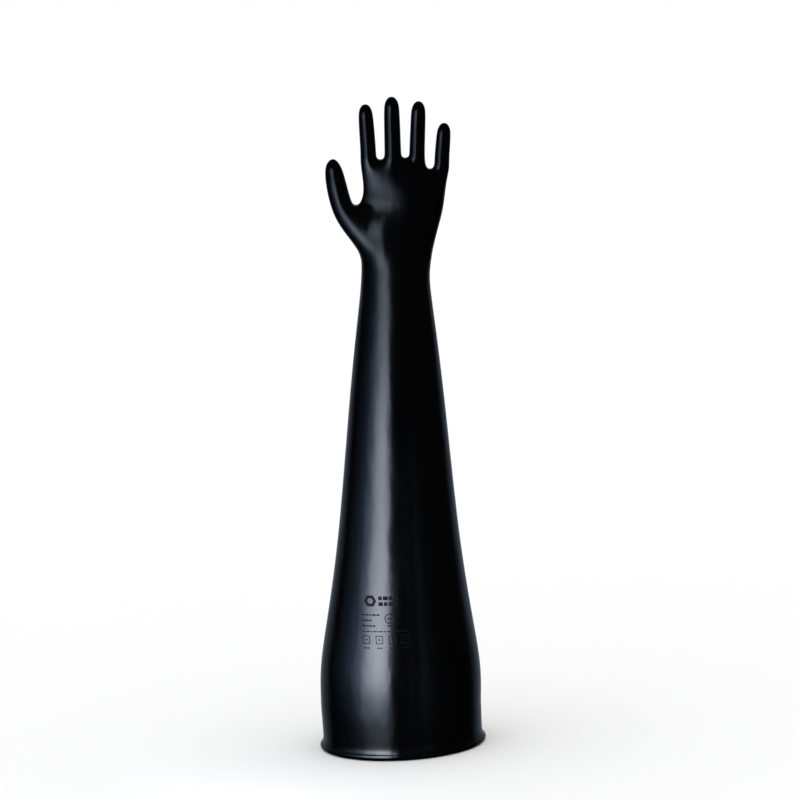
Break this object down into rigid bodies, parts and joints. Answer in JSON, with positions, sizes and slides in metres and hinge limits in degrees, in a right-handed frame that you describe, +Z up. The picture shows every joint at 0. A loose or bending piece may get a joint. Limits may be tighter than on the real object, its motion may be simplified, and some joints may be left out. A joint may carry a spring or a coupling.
{
  "type": "electrical insulating glove",
  "caption": "Long rubber gauntlet with five-finger hand, conical sleeve and a beaded cuff that stretches over a round port ring.",
  "frame": {"origin": "centre of the cuff on the surface that the bead stands on", "axes": "+Z up the cuff's axis towards the fingertips, +X to the little finger's side, palm facing -Y"},
  "size_m": [0.2056, 0.2056, 0.8131],
  "materials": {
    "glove_rubber": "smooth satin, dipped",
    "core_cord": "matt"
  },
  "bodies": {
    "cuff": {"bead_core_ring": "core_cord", "rolled_bead": "glove_rubber", "cuff_band": "glove_rubber", "port_flex": "glove_rubber"},
    "lower_sleeve": {"lower_sleeve": "glove_rubber", "elbow_flex": "glove_rubber"},
    "upper_sleeve": {"upper_sleeve": "glove_rubber", "wrist_bend_flex": "glove_rubber"},
    "wrist": {"wrist_ring": "glove_rubber", "wrist_sway_flex": "glove_rubber"},
    "hand": {"hand_shell": "glove_rubber", "index_knuckle_flex": "glove_rubber", "middle_knuckle_flex": "glove_rubber", "ring_knuckle_flex": "glove_rubber", "little_knuckle_flex": "glove_rubber", "thumb_knuckle_flex": "glove_rubber"},
    "index_lower": {"index_lower": "glove_rubber", "index_middle_flex": "glove_rubber"},
    "index_middle": {"index_middle": "glove_rubber", "index_tip_flex": "glove_rubber"},
    "index_tip": {"index_tip": "glove_rubber"},
    "middle_lower": {"middle_lower": "glove_rubber", "middle_middle_flex": "glove_rubber"},
    "middle_middle": {"middle_middle": "glove_rubber", "middle_tip_flex": "glove_rubber"},
    "middle_tip": {"middle_tip": "glove_rubber"},
    "ring_lower": {"ring_lower": "glove_rubber", "ring_middle_flex": "glove_rubber"},
    "ring_middle": {"ring_middle": "glove_rubber", "ring_tip_flex": "glove_rubber"},
    "ring_tip": {"ring_tip": "glove_rubber"},
    "little_lower": {"little_lower": "glove_rubber", "little_middle_flex": "glove_rubber"},
    "little_middle": {"little_middle": "glove_rubber", "little_tip_flex": "glove_rubber"},
    "little_tip": {"little_tip": "glove_rubber"},
    "thumb_lower": {"thumb_lower": "glove_rubber", "thumb_tip_flex": "glove_rubber"},
    "thumb_tip": {"thumb_tip": "glove_rubber"}
  },
  "joints": [
    {"name": "sleeve_swing", "type": "hinge", "parent": "cuff", "child": "lower_sleeve", "pos_m": [0.00075, 0, 0.06998], "axis": [1, 0, 0], "range_deg": [-18, 18], "stiffness_Nm_per_rad": 20, "deforming": ["port_flex"]},
    {"name": "elbow_bend", "type": "hinge", "parent": "lower_sleeve", "child": "upper_sleeve", "pos_m": [-0.02565, 0, 0.37135], "axis": [0, -1, 0], "range_deg": [0, 45], "stiffness_Nm_per_rad": 12, "deforming": ["elbow_flex"]},
    {"name": "wrist_bend", "type": "hinge", "parent": "upper_sleeve", "child": "wrist", "pos_m": [0.02259, 0, 0.57902], "axis": [0.9991, 0, -0.0419], "range_deg": [-40, 40], "stiffness_Nm_per_rad": 3, "deforming": ["wrist_bend_flex"]},
    {"name": "wrist_sway", "type": "hinge", "parent": "wrist", "child": "hand", "pos_m": [0.02414, 0, 0.60873], "axis": [0, 1, 0], "range_deg": [-15, 15], "stiffness_Nm_per_rad": 3, "deforming": ["wrist_sway_flex"]},
    {"name": "index_knuckle_bend", "type": "hinge", "parent": "hand", "child": "index_lower", "pos_m": [-0.00252, -0.00522, 0.74171], "axis": [0.9999, 0, 0.014], "range_deg": [0, 60], "stiffness_Nm_per_rad": 0.05, "deforming": ["index_knuckle_flex"]},
    {"name": "index_middle_bend", "type": "hinge", "parent": "index_lower", "child": "index_middle", "pos_m": [-0.00285, -0.00522, 0.76571], "axis": [0.9999, 0, 0.014], "range_deg": [0, 70], "stiffness_Nm_per_rad": 0.04, "deforming": ["index_middle_flex"]},
    {"name": "index_tip_bend", "type": "hinge", "parent": "index_middle", "child": "index_tip", "pos_m": [-0.00313, -0.00522, 0.78571], "axis": [0.9999, 0, 0.014], "range_deg": [0, 40], "stiffness_Nm_per_rad": 0.03, "deforming": ["index_tip_flex"]},
    {"name": "middle_knuckle_bend", "type": "hinge", "parent": "hand", "child": "middle_lower", "pos_m": [0.02749, -0.0055, 0.74145], "axis": [0.9996, 0, -0.0279], "range_deg": [0, 60], "stiffness_Nm_per_rad": 0.05, "deforming": ["middle_knuckle_flex"]},
    {"name": "middle_middle_bend", "type": "hinge", "parent": "middle_lower", "child": "middle_middle", "pos_m": [0.02825, -0.0055, 0.76844], "axis": [0.9996, 0, -0.0279], "range_deg": [0, 70], "stiffness_Nm_per_rad": 0.04, "deforming": ["middle_middle_flex"]},
    {"name": "middle_tip_bend", "type": "hinge", "parent": "middle_middle", "child": "middle_tip", "pos_m": [0.02886, -0.0055, 0.79043], "axis": [0.9996, 0, -0.0279], "range_deg": [0, 40], "stiffness_Nm_per_rad": 0.03, "deforming": ["middle_tip_flex"]},
    {"name": "ring_knuckle_bend", "type": "hinge", "parent": "hand", "child": "ring_lower", "pos_m": [0.05705, -0.00506, 0.73971], "axis": [0.9962, 0, -0.0872], "range_deg": [0, 60], "stiffness_Nm_per_rad": 0.05, "deforming": ["ring_knuckle_flex"]},
    {"name": "ring_middle_bend", "type": "hinge", "parent": "ring_lower", "child": "ring_middle", "pos_m": [0.05923, -0.00506, 0.76462], "axis": [0.9962, 0, -0.0872], "range_deg": [0, 70], "stiffness_Nm_per_rad": 0.04, "deforming": ["ring_middle_flex"]},
    {"name": "ring_tip_bend", "type": "hinge", "parent": "ring_middle", "child": "ring_tip", "pos_m": [0.06106, -0.00506, 0.78554], "axis": [0.9962, 0, -0.0872], "range_deg": [0, 40], "stiffness_Nm_per_rad": 0.03, "deforming": ["ring_tip_flex"]},
    {"name": "little_knuckle_bend", "type": "hinge", "parent": "hand", "child": "little_lower", "pos_m": [0.08692, -0.0049, 0.72895], "axis": [0.9921, 0, -0.1253], "range_deg": [0, 60], "stiffness_Nm_per_rad": 0.05, "deforming": ["little_knuckle_flex"]},
    {"name": "little_middle_bend", "type": "hinge", "parent": "little_lower", "child": "little_middle", "pos_m": [0.08918, -0.0049, 0.74681], "axis": [0.9921, 0, -0.1253], "range_deg": [0, 65], "stiffness_Nm_per_rad": 0.04, "deforming": ["little_middle_flex"]},
    {"name": "little_tip_bend", "type": "hinge", "parent": "little_middle", "child": "little_tip", "pos_m": [0.09112, -0.0049, 0.76219], "axis": [0.9921, 0, -0.1253], "range_deg": [0, 40], "stiffness_Nm_per_rad": 0.03, "deforming": ["little_tip_flex"]},
    {"name": "thumb_knuckle_bend", "type": "hinge", "parent": "hand", "child": "thumb_lower", "pos_m": [-0.03721, -0.00595, 0.69518], "axis": [0.8596, 0.5, 0.1055], "range_deg": [0, 28], "stiffness_Nm_per_rad": 0.08, "deforming": ["thumb_knuckle_flex"]},
    {"name": "thumb_tip_bend", "type": "hinge", "parent": "thumb_lower", "child": "thumb_tip", "pos_m": [-0.03977, -0.00595, 0.71603], "axis": [0.8596, 0.5, 0.1055], "range_deg": [0, 30], "stiffness_Nm_per_rad": 0.06, "deforming": ["thumb_tip_flex"]}
  ],
  "couplings": [
    {"joint": "index_tip_bend", "follows": "index_middle_bend", "ratio": 0.56},
    {"joint": "middle_tip_bend", "follows": "middle_middle_bend", "ratio": 0.56},
    {"joint": "ring_tip_bend", "follows": "ring_middle_bend", "ratio": 0.56},
    {"joint": "little_tip_bend", "follows": "little_middle_bend", "ratio": 0.56}
  ]
}
